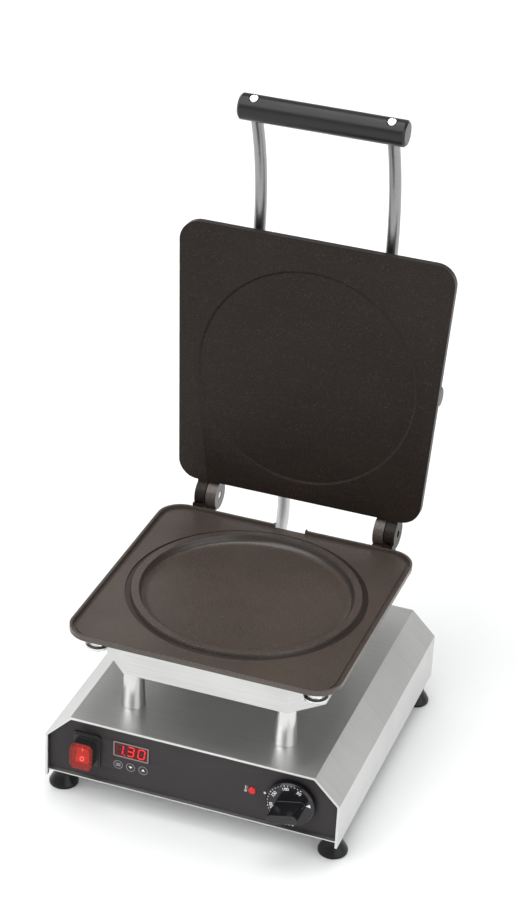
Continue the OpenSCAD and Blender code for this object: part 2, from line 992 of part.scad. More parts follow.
module lower_griddle() {
    rim_in = rim_w + channel_w;
    color(coated)
        stand()
            difference() {
                union() {
                    difference() {
                        translate([0, griddle_y, slab_z])
                            linear_extrude(slab_t)
                                round_rect(plate_side, plate_side, plate_corner_r);
                        translate([0, ring_y, field_z - channel_depth])
                            cylinder(h = channel_depth + 1, r = ring_channel_r, $fn = 128);
                    }
                    translate([0, griddle_y, field_z])
                        linear_extrude(rim_h)
                            difference() {
                                round_rect(plate_side, plate_side, plate_corner_r);
                                round_rect(plate_side - 2 * rim_w, plate_side - 2 * rim_w,
                                    plate_corner_r - rim_w);
                            }
                    translate([0, ring_y, slab_z + 0.5])
                        cylinder(h = rim_z - slab_z - 0.5, r1 = ring_foot_r, r2 = ring_top_r, $fn = 128);
                    translate([0, griddle_y, pad_z])
                        linear_extrude(pad_t)
                            octagon(tray_hw - 4, tray_hd - 4, tray_cut);
                    translate([0, ring_y, tray_top + 0.5])
                        cylinder(h = slab_z - tray_top, r = recess_r + 2, $fn = 128);
                    leg_places()
                        translate([0, 0, tray_z + sheet])
                            cylinder(h = pad_z - tray_z, r = boss_r);
                    for (side = [0, 1])
                        mirror([side, 0, 0])
                            knuckle(knuckle_x, slab_z, field_z);
                    for (side = [0, 1])
                        mirror([side, 0, 0])
                            box_at(stop_x, stop_x + knuckle_w, plate_back - 12, plate_back,
                                pad_z, slab_z + 1);
                    for (side = [-1, 1])
                        translate([side * spout_w / 2, plate_back - rim_w / 2, field_z])
                            cylinder(h = rim_h + closed_gap - 0.3, r = 2.2);
                }
                translate([0, griddle_y, field_z - channel_depth])
                    linear_extrude(channel_depth + 0.01)
                        difference() {
                            round_rect(plate_side - 2 * rim_w, plate_side - 2 * rim_w,
                                plate_corner_r - rim_w);
                            round_rect(plate_side - 2 * rim_in, plate_side - 2 * rim_in,
                                plate_corner_r - rim_in);
                        }
                box_at(-spout_w / 2, spout_w / 2, plate_back - rim_w - 1, plate_back + 1,
                    field_z - channel_depth, rim_z + 1);
                translate([0, ring_y, ring_z - recess_depth])
                    recess_cut();
                translate([0, ring_y, ring_z])
                    cylinder(h = 5, r = recess_r, $fn = 128);
                leg_places()
                    cylinder(h = base_h + leg_h + 22, r = bolt_r);
                for (side = [-1, 1])
                    translate([side * spool_x, griddle_y - spool_y, slab_z - 1])
                        cylinder(h = slab_t, r = 2.5);
            }
}

// A chrome pin with a wide flange, standing down from z = 0.
module spool() {
    neck_r = spool_r - 3.5;
    flange_t = 3;
    rotate_extrude()
        polygon([
            [0, slab_t - 1], [2.5, slab_t - 1], [2.5, 0], [neck_r + 1, 0], [neck_r, -1.5],
            [neck_r, -spool_l + flange_t + 1], [spool_r, -spool_l + flange_t],
            [spool_r, -spool_l + 0.8], [spool_r - 0.8, -spool_l], [0, -spool_l]]);
}

module lower_plate_pins() {
    color(bright)
        stand()
            for (side = [-1, 1])
                translate([side * spool_x, griddle_y - spool_y, slab_z])
                    spool();
}

module hinge_pins() {
    span = 2 * knuckle_w + knuckle_gap;
    color(bright)
        stand()
            for (side = [0, 1])
                mirror([side, 0, 0])
                    rod_x(knuckle_x + 0.4, hinge_y, hinge_z, pin_r, span - 3.4);
}

// Lid, drawn closed and turned open by lid_pose

module lid_outline() {
    front = hinge_y - lid_reach;
    back = hinge_y - lid_back_gap;
    fx = lid_front_w / 2;
    bx = lid_back_w / 2;
    r = lid_corner_r;
    tilt = atan2(fx - bx, back - front);
    fcx = fx - r / tan(45 - tilt / 2);
    bcx = bx - r / tan(45 + tilt / 2);
    out = [r * cos(tilt), r * sin(tilt)];
    union() {
        polygon([
            [-fcx, front], [fcx, front],
            [fcx + out[0], front + r + out[1]], [bcx + out[0], back - r + out[1]],
            [bcx, back], [-bcx, back],
            [-bcx - out[0], back - r + out[1]], [-fcx - out[0], front + r + out[1]]]);
        for (sx = [-1, 1]) {
            translate([sx * fcx, front + r])
                circle(r);
            translate([sx * bcx, back - r])
                circle(r);
        }
    }
}

module upper_griddle() {
    color(coated)
        lid_pose()
            difference() {
                union() {
                    translate([0, 0, face_z])
                        linear_extrude(lid_t)
                            lid_outline();
                    translate([0, ring_y, lid_top])
                        linear_extrude(pad_t)
                            octagon(tray_hw - 4, tray_hd - 4, tray_cut);
                    for (sx = [-1, 1], sy = [-1, 1])
                        translate([sx * hood_boss_x, ring_y + sy * hood_boss_y, lid_top])
                            cylinder(h = hood_top - sheet - lid_top, r = boss_r);
                    for (side = [0, 1])
                        mirror([side, 0, 0])
                            union() {
                                rod_x(stop_x, hinge_y, hinge_z, knuckle_r, knuckle_w);
                                box_at(stop_x, stop_x + knuckle_w, hinge_y - lid_back_gap - 8, hinge_y,
                                    face_z, lid_top + 4);
                            }
                    lid_heels();
                }
                for (side = [0, 1])
                    mirror([side, 0, 0])
                        rod_x(stop_x - 1, hinge_y, hinge_z, pin_r + pin_clear, knuckle_w + 2);
                translate([0, ring_y, face_z])
                    cylinder(h = lid_recess_depth, r1 = lid_recess_r, r2 = lid_recess_r - 2.2, $fn = 128);
                translate([0, ring_y, face_z - 1])
                    cylinder(h = 1, r = lid_recess_r, $fn = 128);
                for (sx = [-1, 1], sy = [-1, 1])
                    translate([sx * hood_boss_x, ring_y + sy * hood_boss_y, hood_top - 16])
                        cylinder(h = 20, r = 2.5);
            }
}

// Heels that meet the lower griddle's stop pads when the lid stands open. They are drawn in that pose.
module lid_heels() {
    translate([0, hinge_y, hinge_z])
        rotate([open_angle, 0, 0])
            translate([0, -hinge_y, -hinge_z])
                for (side = [0, 1])
                    mirror([side, 0, 0])
                        box_at(stop_x, stop_x + knuckle_w, plate_back + small, hinge_y - 5,
                            pad_z + 1, hinge_z - 5);
}

hood_boss_x = 85;
hood_boss_y = 70;
hood_screw_r = 2.5;

module upper_hood() {
    color(steel)
        lid_pose()
            difference() {
                translate([0, ring_y, hood_z])
                    linear_extrude(hood_h)
                        octagon(tray_hw, tray_hd, tray_cut);
                translate([0, ring_y, hood_z - 1])
                    linear_extrude(hood_h - sheet + 1)
                        octagon(tray_hw - sheet, tray_hd - sheet, tray_cut - miter);
                for (sx = [-1, 1], sy = [-1, 1])
                    translate([sx * hood_boss_x, ring_y + sy * hood_boss_y, hood_top - 5])
                        cylinder(h = 10, r = hood_screw_r);
                for (side = [-1, 1])
                    rod_y(side * rod_offset, ring_y - tray_hd - 2, rod_z, rod_r, 6);
                rod_y(-conduit_x, ring_y + tray_hd - 5, face_z + upper_gland_off, gland_r, 10);
                rod_x(tray_hw - 5, plug_y, plug_z, 3, 10);
            }
}

module upper_insulation() {
    low = lid_top + pad_t + coil_tube_r + coil_ends + 2;
    color(wool)
        lid_pose()
            translate([0, ring_y, 0])
                wool_block(low, hood_top - sheet, hood_boss_x, hood_boss_y);
}

module upper_heater() {
    color([0.35, 0.33, 0.31])
        lid_pose()
            translate([0, ring_y, 0])
                heater_coil(lid_top + pad_t + coil_tube_r, 1);
}

module hood_screws() {
    thread_l = 12;
    color(bright)
        lid_pose()
            for (sx = [-1, 1], sy = [-1, 1])
                translate([sx * hood_boss_x, ring_y + sy * hood_boss_y, hood_top])
                    union() {
                        cylinder(h = 1.5, r1 = 5, r2 = 3.6);
                        translate([0, 0, -thread_l])
                            cylinder(h = thread_l, r = hood_screw_r);
                    }
}

plug_y = hinge_y - 139;
plug_z = face_z + 50;
plug_r = 12;

module hood_plug() {
    color(black)
        lid_pose()
            translate([tray_hw, plug_y, plug_z])
                rotate([0, 90, 0])
                    union() {
                        cylinder(h = 12, r = plug_r);
                        translate([0, 0, 12])
                            cylinder(h = 3, r1 = plug_r, r2 = plug_r - 3);
                        translate([0, 0, -sheet])
                            cylinder(h = sheet, r = 3);
                    }
}

// Handle

rod_start = 9;

module handle_rod(side) {
    straight = ring_y - tray_hd + rod_start - bend_y;
    lap = 0.5;
    thin_r = rod_r - 0.02;
    color(bright)
        lid_pose()
            translate([side * rod_offset, 0, 0])
                union() {
                    rod_y(0, bend_y - lap, rod_z, thin_r, straight + lap);
                    translate([0, bend_y, rod_z - rod_bend_r])
                        rotate([0, -90, 0])
                            rotate_extrude(angle = rod_bend, start = 360 - rod_bend)
                                translate([rod_bend_r, 0])
                                    circle(rod_r);
                    translate([0, bend_y, rod_z - rod_bend_r])
                        rotate([rod_bend, 0, 0])
                            translate([0, lap, rod_bend_r])
                                rotate([90, 0, 0])
                                    cylinder(h = rod_end_l + lap - 2, r = thin_r);
                }
}

module rod_nuts() {
    nut_t = 3.5;
    wall_y = ring_y - tray_hd;
    color(bright)
        lid_pose()
            for (side = [-1, 1], y = [wall_y - nut_t, wall_y + sheet])
                difference() {
                    rod_y(side * rod_offset, y, rod_z, rod_r + 3.5, nut_t);
                    rod_y(side * rod_offset, y - 1, rod_z, rod_r, nut_t + 2);
                }
}

// Puts +Z along the rods' last stretch, outwards through the grip's middle.
module at_rod_end(side) {
    translate([side * rod_offset, grip_y, grip_z])
        rotate([90 + rod_bend, 0, 0])
            children();
}

module handle_grip() {
    end_round = 2;
    color(black)
        lid_pose()
            difference() {
                union() {
                    rod_x(-grip_l / 2 + end_round, grip_y, grip_z, grip_r, grip_l - 2 * end_round);
                    for (side = [0, 1])
                        mirror([side, 0, 0])
                            translate([grip_l / 2 - end_round, grip_y, grip_z])
                                rotate([0, 90, 0])
                                    cylinder(h = end_round, r1 = grip_r, r2 = grip_r - end_round);
                }
                for (side = [-1, 1])
                    at_rod_end(side)
                        union() {
                            translate([0, 0, -grip_r - 5])
                                cylinder(h = grip_r + 3, r = rod_r, $fn = 48);
                            translate([0, 0, -3])
                                cylinder(h = grip_r + 8, r = 2.5);
                            translate([0, 0, grip_r - 2.2])
                                cylinder(h = 5, r = 5);
                        }
            }
}

module grip_screws() {
    color(bright)
        lid_pose()
            for (side = [-1, 1])
                at_rod_end(side)
                    union() {
                        translate([0, 0, -2])
                            cylinder(h = grip_r, r = 2.5);
                        difference() {
                            translate([0, 0, grip_r - 2.2])
                                cylinder(h = 2.4, r1 = 5, r2 = 4);
                            translate([0, 0, grip_r - 0.6])
                                cube([8, 1, 2], center = true);
                            translate([0, 0, grip_r - 0.6])
                                cube([1, 8, 2], center = true);
                        }
                    }
}

base_cover();
base_floor();
front_fascia();
rear_panel();
foot(-1, -1);  // foot_front_left
foot(1, -1);  // foot_front_right
foot(-1, 1);  // foot_rear_left
foot(1, 1);  // foot_rear_right
foot_screws();
switch_frame();
switch_boot();
switch_rocker();
switch_body();
display_frame();
display_window();
display_module();
control_board();
key(-1);  // key_start
key(0);  // key_down
key(1);  // key_up
pilot_lamp();
thermostat_knob();
thermostat_shaft();
thermostat_body();
terminal_block();
overheat_limiter();
mains_inlet();
lower_gland();
conduit();
wire_tube();
leg(-1, -1);  // leg_front_left
leg(1, -1);  // leg_front_right
leg(-1, 1);  // leg_rear_left
leg(1, 1);  // leg_rear_right
leg_bolts();
lower_tray();
lower_insulation();
lower_heater();
lower_griddle();
lower_plate_pins();
hinge_pins();
upper_griddle();
upper_hood();
upper_insulation();
upper_heater();
hood_screws();
handle_rod(-1);  // handle_rod_left
handle_rod(1);  // handle_rod_right
rod_nuts();
handle_grip();
grip_screws();
upper_gland();
hood_plug();
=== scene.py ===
"""Dresses the quesadilla maker: steel cabinet, griddles, controls and handle, in the part's frame."""

import math

import bmesh
import bpy
from mathutils import Matrix, Vector


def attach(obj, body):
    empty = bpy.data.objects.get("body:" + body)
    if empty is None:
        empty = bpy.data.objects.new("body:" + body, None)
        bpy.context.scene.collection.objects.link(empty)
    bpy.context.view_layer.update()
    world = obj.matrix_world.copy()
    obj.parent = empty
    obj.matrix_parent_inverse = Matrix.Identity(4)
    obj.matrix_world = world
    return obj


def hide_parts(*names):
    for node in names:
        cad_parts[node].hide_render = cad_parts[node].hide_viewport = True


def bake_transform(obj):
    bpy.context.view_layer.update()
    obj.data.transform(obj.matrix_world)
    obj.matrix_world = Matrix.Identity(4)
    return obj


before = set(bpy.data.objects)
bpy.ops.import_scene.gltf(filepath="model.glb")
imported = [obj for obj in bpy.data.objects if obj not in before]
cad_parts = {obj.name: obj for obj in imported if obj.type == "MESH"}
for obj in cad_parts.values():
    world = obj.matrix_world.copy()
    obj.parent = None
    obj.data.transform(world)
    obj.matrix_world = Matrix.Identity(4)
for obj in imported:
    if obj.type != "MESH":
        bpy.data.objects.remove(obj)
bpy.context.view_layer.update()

MM = 0.001
# The part's frame lies this far behind the middle of the cabinet, in millimetres.
SHIFT_Y = 9.90603
FASCIA_Y = -154.0
# The griddle's ring: its middle, and the recess wall and the channel as (radius, half width), in metres,
# where shade is painted into the coating's colour.
RING_CENTRE = (0.0, (-17 - SHIFT_Y) * MM)
GROOVE_SHADE_BANDS = ((0.1038, 0.0022), (0.1162, 0.0034))
# Painted shade: the colour that darkens the coating over the recess wall and the channel.
GROOVE_SHADE_TONE = (0.25, 0.23, 0.22)


def at(x, y, z):
    """A point given in millimetres from the middle of the cabinet's foot."""
    return Vector((x * MM, (y - SHIFT_Y) * MM, z * MM))


# Finishes


def new_finish(name, colour, rough, metal=0.0, specular=0.5):
    mat = bpy.data.materials.new(name)
    mat.use_nodes = True
    shader = mat.node_tree.nodes["Principled BSDF"]
    shader.inputs["Base Color"].default_value = (*colour, 1)
    shader.inputs["Roughness"].default_value = rough
    shader.inputs["Metallic"].default_value = metal
    shader.inputs["Specular IOR Level"].default_value = specular
    return mat, shader


def stretched_noise(mat, scale, detail=3.0, rough=0.55):
    """Noise in object space; scale is per axis, in waves a metre."""
    tree = mat.node_tree
    where = tree.nodes.new("ShaderNodeTexCoord")
    turn = tree.nodes.new("ShaderNodeMapping")
    noise = tree.nodes.new("ShaderNodeTexNoise")
    turn.inputs["Scale"].default_value = scale
    noise.inputs["Scale"].default_value = 1.0
    noise.inputs["Detail"].default_value = detail
    noise.inputs["Roughness"].default_value = rough
    tree.links.new(where.outputs["Object"], turn.inputs["Vector"])
    tree.links.new(turn.outputs["Vector"], noise.inputs["Vector"])
    return noise


def ramp(mat, source, low, high, at_low=0.3, at_high=0.7):
    """Maps a value between at_low and at_high to a number between low and high, and holds it there."""
    node = mat.node_tree.nodes.new("ShaderNodeMapRange")
    node.inputs["From Min"].default_value = at_low
    node.inputs["From Max"].default_value = at_high
    node.inputs["To Min"].default_value = low
    node.inputs["To Max"].default_value = high
    mat.node_tree.links.new(source, node.inputs["Value"])
    return node.outputs["Result"]


def two_colours(mat, source, first, second):
    """Blends from the first colour to the second as the source goes from 0 to 1."""
    node = mat.node_tree.nodes.new("ShaderNodeMix")
    node.data_type = "RGBA"
    node.inputs["A"].default_value = (*first, 1)
    node.inputs["B"].default_value = (*second, 1)
    mat.node_tree.links.new(source, node.inputs["Factor"])
    return node.outputs["Result"]


def bump(mat, shader, source, strength, distance):
    node = mat.node_tree.nodes.new("ShaderNodeBump")
    node.inputs["Strength"].default_value = strength
    node.inputs["Distance"].default_value = distance
    mat.node_tree.links.new(source, node.inputs["Height"])
    mat.node_tree.links.new(node.outputs["Normal"], shader.inputs["Normal"])


def steel(name, colour, rough, grain, depth=0.00002):
    """Brushed sheet metal; grain is the noise scale along each axis."""
    mat, shader = new_finish(name, colour, rough, 1.0)
    link = mat.node_tree.links.new
    lines = stretched_noise(mat, grain, 4.0)
    clouds = stretched_noise(mat, (9, 9, 9), 2.0)
    link(ramp(mat, lines.outputs["Fac"], rough - 0.03, rough + 0.04), shader.inputs["Roughness"])
    darker = tuple(c * 0.86 for c in colour)
    cloudy = two_colours(mat, ramp(mat, clouds.outputs["Fac"], 0, 1), darker, colour)
    streaked = mat.node_tree.nodes.new("ShaderNodeMix")
    streaked.data_type = "RGBA"
    streaked.blend_type = "MULTIPLY"
    streaked.inputs["Factor"].default_value = 1.0
    link(cloudy, streaked.inputs["A"])
    streaks = two_colours(mat, ramp(mat, lines.outputs["Fac"], 0, 1), (0.88, 0.88, 0.88), (1, 1, 1))
    link(streaks, streaked.inputs["B"])
    link(streaked.outputs["Result"], shader.inputs["Base Color"])
    bump(mat, shader, lines.outputs["Fac"], 0.08, depth)
    return mat


def coated(name, low, high, rough, specular):
    """Non-stick coating with fine light specks and a slight orange-peel surface."""
    mat, shader = new_finish(name, high, rough, 0.0, specular)
    link = mat.node_tree.links.new
    specks = stretched_noise(mat, (850, 850, 850), 2.0, 0.8)
    peel = stretched_noise(mat, (700, 700, 700), 2.0)
    mottle = stretched_noise(mat, (14, 14, 14), 3.0)
    base = two_colours(mat, ramp(mat, mottle.outputs["Fac"], 0, 1), low, high)
    bright = tuple(c * 3.2 + 0.012 for c in high)
    mix = mat.node_tree.nodes.new("ShaderNodeMix")
    mix.data_type = "RGBA"
    link(ramp(mat, specks.outputs["Fac"], 0, 1, 0.56, 0.74), mix.inputs["Factor"])
    link(base, mix.inputs["A"])
    mix.inputs["B"].default_value = (*bright, 1)
    link(mix.outputs["Result"], shader.inputs["Base Color"])
    link(ramp(mat, specks.outputs["Fac"], rough + 0.05, rough - 0.1), shader.inputs["Roughness"])
    bump(mat, shader, peel.outputs["Fac"], 0.5, 0.00006)
    return mat


def paint_shade_rings(mat, centre, bands, tone, amount):
    """Paints shade into a finish's colour in rings round a centre, darkening where grooves lie in shade;
    bands are (radius, half width) in metres.
    """
    tree = mat.node_tree
    link = tree.links.new
    shader = tree.nodes["Principled BSDF"]
    where = tree.nodes.new("ShaderNodeTexCoord")
    flat = tree.nodes.new("ShaderNodeMapping")
    flat.inputs["Location"].default_value = (-centre[0], -centre[1], 0)
    flat.inputs["Scale"].default_value = (1, 1, 0)
    long = tree.nodes.new("ShaderNodeVectorMath")
    long.operation = "LENGTH"
    link(where.outputs["Object"], flat.inputs["Vector"])
    link(flat.outputs["Vector"], long.inputs[0])
    source = shader.inputs["Base Color"].links[0].from_socket
    for radius, half in bands:
        off = tree.nodes.new("ShaderNodeMath")
        off.operation = "SUBTRACT"
        off.inputs[1].default_value = radius
        link(long.outputs["Value"], off.inputs[0])
        near = tree.nodes.new("ShaderNodeMath")
        near.operation = "ABSOLUTE"
        link(off.outputs["Value"], near.inputs[0])
        shade = tree.nodes.new("ShaderNodeMix")
        shade.data_type = "RGBA"
        shade.blend_type = "MULTIPLY"
        link(ramp(mat, near.outputs["Value"], amount, 0.0, half * 0.6, half), shade.inputs["Factor"])
        link(source, shade.inputs["A"])
        shade.inputs["B"].default_value = (*tone, 1)
        source = shade.outputs["Result"]
    link(source, shader.inputs["Base Color"])


def plastic(name, colour, rough, grain=900, depth=0.00003, specular=0.5):
    """Moulded plastic or rubber with a fine texture."""
    mat, shader = new_finish(name, colour, rough, 0.0, specular)
    link = mat.node_tree.links.new
    pores = stretched_noise(mat, (grain, grain, grain), 2.0)
    soft = stretched_noise(mat, (25, 25, 25), 2.0)
    link(ramp(mat, soft.outputs["Fac"], rough - 0.05, rough + 0.06), shader.inputs["Roughness"])
    lighter = tuple(min(1.0, c * 1.25 + 0.004) for c in colour)
    speckled = two_colours(mat, ramp(mat, pores.outputs["Fac"], 0, 1), colour, lighter)
    link(speckled, shader.inputs["Base Color"])
    bump(mat, shader, pores.outputs["Fac"], 0.3, depth)
    return mat


def glowing(name, colour, strength, rough=0.3):
    """A finish that also gives off its own colour."""
    mat, shader = new_finish(name, colour, rough)
    shader.inputs["Emission Color"].default_value = (*colour, 1)
    shader.inputs["Emission Strength"].default_value = strength
    fine = stretched_noise(mat, (600, 600, 600), 1.0)
    uneven = ramp(mat, fine.outputs["Fac"], rough - 0.04, rough + 0.04)
    mat.node_tree.links.new(uneven, shader.inputs["Roughness"])
    return mat


cabinet_steel = steel("cabinet steel", (0.76, 0.76, 0.75), 0.40, (18, 1000, 18))
tray_steel = steel("tray steel", (0.72, 0.72, 0.71), 0.36, (18, 18, 1000))
turned_steel = steel("turned steel", (0.76, 0.76, 0.75), 0.20, (60, 60, 1800), 0.00001)
polished = steel("polished chrome", (0.86, 0.86, 0.86), 0.10, (200, 200, 200), 0.000004)
rod_steel = steel("handle rod steel", (0.34, 0.34, 0.34), 0.30, (1200, 1200, 40), 0.00001)
griddle_coat = coated("griddle coating", (0.050, 0.038, 0.031), (0.068, 0.052, 0.043), 0.36, 0.62)
# Painted shade: the griddle's coating is darkened in rings over the recess wall and the ring's channel, where
# the grooves lie in shade.
paint_shade_rings(griddle_coat, RING_CENTRE, GROOVE_SHADE_BANDS, GROOVE_SHADE_TONE, 0.8)
lid_coat = coated("lid coating", (0.0110, 0.0068, 0.0052), (0.0155, 0.0102, 0.0080), 0.42, 0.22)
fascia_paint = plastic("fascia paint", (0.026, 0.022, 0.023), 0.55, 1300, 0.00001, 0.35)
black_plastic = plastic("black plastic", (0.012, 0.012, 0.013), 0.38, 1500, 0.00001)
knob_plastic = plastic("knob plastic", (0.005, 0.005, 0.007), 0.18, 700, 0.000004, 0.5)
grip_plastic = plastic("grip plastic", (0.007, 0.007, 0.007), 0.30, 1800, 0.00002, 0.4)
foot_rubber = plastic("foot rubber", (0.003, 0.003, 0.0035), 0.30, 1200, 0.00002, 0.3)
key_plastic = plastic("key plastic", (0.030, 0.026, 0.027), 0.5, 1300, 0.00001, 0.35)
light_plastic = plastic("light plastic", (0.72, 0.70, 0.64), 0.5)
board_green = plastic("board green", (0.02, 0.12, 0.05), 0.45)
mineral_wool = plastic("mineral wool", (0.62, 0.58, 0.45), 0.95, 260, 0.0008, 0.1)
heater_sheath = steel("heater sheath", (0.22, 0.20, 0.19), 0.5, (300, 300, 300))
window_red = plastic("display window", (0.085, 0.005, 0.009), 0.12, 1500, 0.000002, 0.2)
segment_lit = glowing("lit segment", (0.80, 0.006, 0.008), 0.55)
segment_dark = glowing("dark segment", (0.022, 0.003, 0.004), 0.02)
lamp_red = glowing("lamp red", (0.60, 0.008, 0.012), 0.06, 0.12)
print_white = plastic("white print", (0.80, 0.80, 0.80), 0.5, 1200, 0.000002)
print_grey = plastic("grey print", (0.42, 0.41, 0.41), 0.5, 1200, 0.000002)
rocker_red = glowing("rocker red", (0.62, 0.006, 0.010), 0.34, 0.3)
# Painted glow: the white marks on the rocker give off light, though they are only print.
mark_painted_glow = glowing("mark painted glow", (0.95, 0.95, 0.95), 2.4, 0.4)
frame_line = plastic("frame line", (0.22, 0.20, 0.20), 0.5, 1200, 0.000002)


def boot_finish():
    """Clear red rubber over the power switch."""
    mat, shader = new_finish("boot red", (0.82, 0.16, 0.13), 0.05)
    shader.inputs["Transmission Weight"].default_value = 0.82
    shader.inputs["IOR"].default_value = 1.2
    fine = stretched_noise(mat, (500, 500, 500), 2.0)
    bump(mat, shader, fine.outputs["Fac"], 0.1, 0.000004)
    return mat


boot_red = boot_finish()


def braid_finish():
    """Fine metal braid, drawn along and round the conduit by its UV map, with shade painted into its creases.
    """
    mat, shader = new_finish("conduit braid", (0.86, 0.86, 0.86), 0.38, 0.85)
    tree = mat.node_tree
    uv = tree.nodes.new("ShaderNodeUVMap")
    uv.uv_map = "along"
    heights = []
    for turn in (-1, 1):
        mapping = tree.nodes.new("ShaderNodeMapping")
        mapping.inputs["Rotation"].default_value = (0, 0, turn * 0.7)
        wave = tree.nodes.new("ShaderNodeTexWave")
        wave.inputs["Scale"].default_value = 9.0
        wave.inputs["Distortion"].default_value = 0.4
        tree.links.new(uv.outputs["UV"], mapping.inputs["Vector"])
        tree.links.new(mapping.outputs["Vector"], wave.inputs["Vector"])
        heights.append(wave.outputs["Fac"])
    both = tree.nodes.new("ShaderNodeMath")
    both.operation = "MAXIMUM"
    tree.links.new(heights[0], both.inputs[0])
    tree.links.new(heights[1], both.inputs[1])
    bump(mat, shader, both.outputs["Value"], 0.35, 0.0002)
    # Painted shade: the braid's colour darkens where it is low, in the creases between the wires.
    height = ramp(mat, both.outputs["Value"], 0, 1, 0.1, 0.8)
    colour = two_colours(mat, height, (0.46, 0.46, 0.46), (0.72, 0.72, 0.72))
    tree.links.new(colour, shader.inputs["Base Color"])
    return mat


conduit_braid = braid_finish()


# Pieces

SMOOTH_BELOW = math.radians(32)
WELD = 2e-6
FLAT_WITHIN = math.radians(0.5)


def to_object(name, mesh, mat, body, slot, *nodes):
    """A piece on a body, standing for the CAD nodes named last."""
    obj = bpy.data.objects.new(name, mesh)
    bpy.context.scene.collection.objects.link(obj)
    obj.data.materials.clear()
    obj.data.materials.append(mat)
    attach(obj, body)
    if nodes:
        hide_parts(*nodes)
    return obj


def smooth_by_angle(mesh):
    """Shades the faces smooth and keeps the edges between steeper faces sharp."""
    bm = bmesh.new()
    bm.from_mesh(mesh)
    for face in bm.faces:
        face.smooth = True
    for edge in bm.edges:
        edge.smooth = len(edge.link_faces) == 2 and edge.calc_face_angle(0) < SMOOTH_BELOW
    bm.to_mesh(mesh)
    bm.free()


def dressed(node, mat, body, slot, edge=0.0, segments=2, angle=35, join_faces=True):
    """A copy of a CAD piece; edge is the bevel's width in millimetres, angle the least it softens.

    Faces pierced by many holes tear when they are joined, so they can stay in triangles.
    """
    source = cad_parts[node]
    bm = bmesh.new()
    bm.from_mesh(source.data)
    bm.transform(source.matrix_world)
    bmesh.ops.remove_doubles(bm, verts=bm.verts, dist=WELD)
    if join_faces:
        bmesh.ops.dissolve_limit(
            bm, angle_limit=FLAT_WITHIN, verts=bm.verts, edges=bm.edges, use_dissolve_boundaries=False
        )
    mesh = bpy.data.meshes.new(node + "_dressed")
    bm.to_mesh(mesh)
    bm.free()
    smooth_by_angle(mesh)
    obj = to_object(node + "_dressed", mesh, mat, body, slot, node)
    if edge:
        soft = obj.modifiers.new("edges", "BEVEL")
        soft.width = edge * MM
        soft.segments = segments
        soft.limit_method = "ANGLE"
        soft.angle_limit = math.radians(angle)
        soft.harden_normals = True
        soft.use_clamp_overlap = True
        soft.miter_outer = "MITER_ARC"
    return obj


def flat_piece(name, outlines, place, thick, mat, body, slot):
    """Thin raised shapes from (u, v) loops in millimetres; place turns (u, v, w) into a point."""
    bm = bmesh.new()
    for loop in outlines:
        low = [bm.verts.new(place(u, v, 0)) for u, v in loop]
        top = [bm.verts.new(place(u, v, thick)) for u, v in loop]
        bm.faces.new(top)
        bm.faces.new(list(reversed(low)))
        count = len(loop)
        for i in range(count):
            j = (i + 1) % count
            bm.faces.new([low[i], low[j], top[j], top[i]])
    bmesh.ops.recalc_face_normals(bm, faces=bm.faces)
    mesh = bpy.data.meshes.new(name)
    bm.to_mesh(mesh)
    bm.free()
    return to_object(name, mesh, mat, body, slot)


def on_fascia(u, v, w):
    """u to the right and v up from the table, w out of the fascia."""
    return at(u, FASCIA_Y - w, v)


def polar(x, z, radius, angle):
    """The point at an angle, in radians, on a circle round (x, z)."""
    return (x + radius * math.cos(angle), z + radius * math.sin(angle))


def circle_points(x, z, radius, count):
    return [polar(x, z, radius, math.tau * i / count) for i in range(count)]


def ring_quads(x, z, inner, outer, count=48):
    """A ring as short four-sided loops."""
    loops = []
    for i in range(count):
        a = math.tau * i / count
        b = math.tau * (i + 1) / count
        corners = ((inner, a), (outer, a), (outer, b), (inner, b))
        loops.append([polar(x, z, radius, angle) for radius, angle in corners])
    return loops


def bar_loop(x0, z0, x1, z1, width):
    """A straight bar from one point to another."""
    dx, dz = x1 - x0, z1 - z0
    long = math.hypot(dx, dz)
    nx, nz = -dz / long * width / 2, dx / long * width / 2
    return [(x0 + nx, z0 + nz), (x0 - nx, z0 - nz), (x1 - nx, z1 - nz), (x1 + nx, z1 + nz)]


# Cabinet

dressed("base_cover", cabinet_steel, "base", "stainless", 0.45, 3)
dressed("base_floor", cabinet_steel, "base", "stainless", join_faces=False)
dressed("rear_panel", cabinet_steel, "base", "stainless", join_faces=False)
dressed("front_fascia", fascia_paint, "base", "fascia_coating", 0.15, 1)
dressed("wire_tube", tray_steel, "base", "stainless", 0.3, 1)
for corner in ("front_left", "front_right", "rear_left", "rear_right"):
    dressed("foot_" + corner, foot_rubber, "base", "black_rubber", 0.5, 3)
    dressed("leg_" + corner, turned_steel, "base", "bright_metal", 0.5, 3)

# Power switch

dressed("switch_frame", black_plastic, "base", "black_plastic", 0.4, 3)
dressed("switch_boot", boot_red, "base", "red_rubber", 0.9, 4)
dressed("switch_rocker", rocker_red, "rocker", "red_plastic", 0.3, 2)

# Timer

dressed("display_frame", frame_line, "base", "bright_metal", 0.1, 1)
dressed("display_window", window_red, "base", "display_glass")
for key, body in {"key_start": "start_key", "key_down": "down_key", "key_up": "up_key"}.items():
    dressed(key, key_plastic, body, "black_plastic", 0.15, 2)

DISPLAY_X, DISPLAY_Z = -62.9, 68.0
WINDOW_PROUD = 0.2
DIGIT_WIDE, DIGIT_TALL, DIGIT_PITCH = 6.4, 10.4, 11.2
DIGITS_LEFT = 0.4
POINT_RIGHT, POINT_DOWN, POINT_R = 4.9, 5.4, 0.72
SLANT = 0.12
BAR_HALF, BAR_TIP, BAR_GAP = 0.68, 0.68, 0.2
# Each bar from (column, row) to (column, row) of the digit's corners.
SEGMENTS = {
    "a": (0, 2, 1, 2), "b": (1, 2, 1, 1), "c": (1, 1, 1, 0), "d": (0, 0, 1, 0),
    "e": (0, 1, 0, 0), "f": (0, 2, 0, 1), "g": (0, 1, 1, 1),
}
DIGITS = {"1": "bc", "3": "abcdg", "0": "abcdef"}


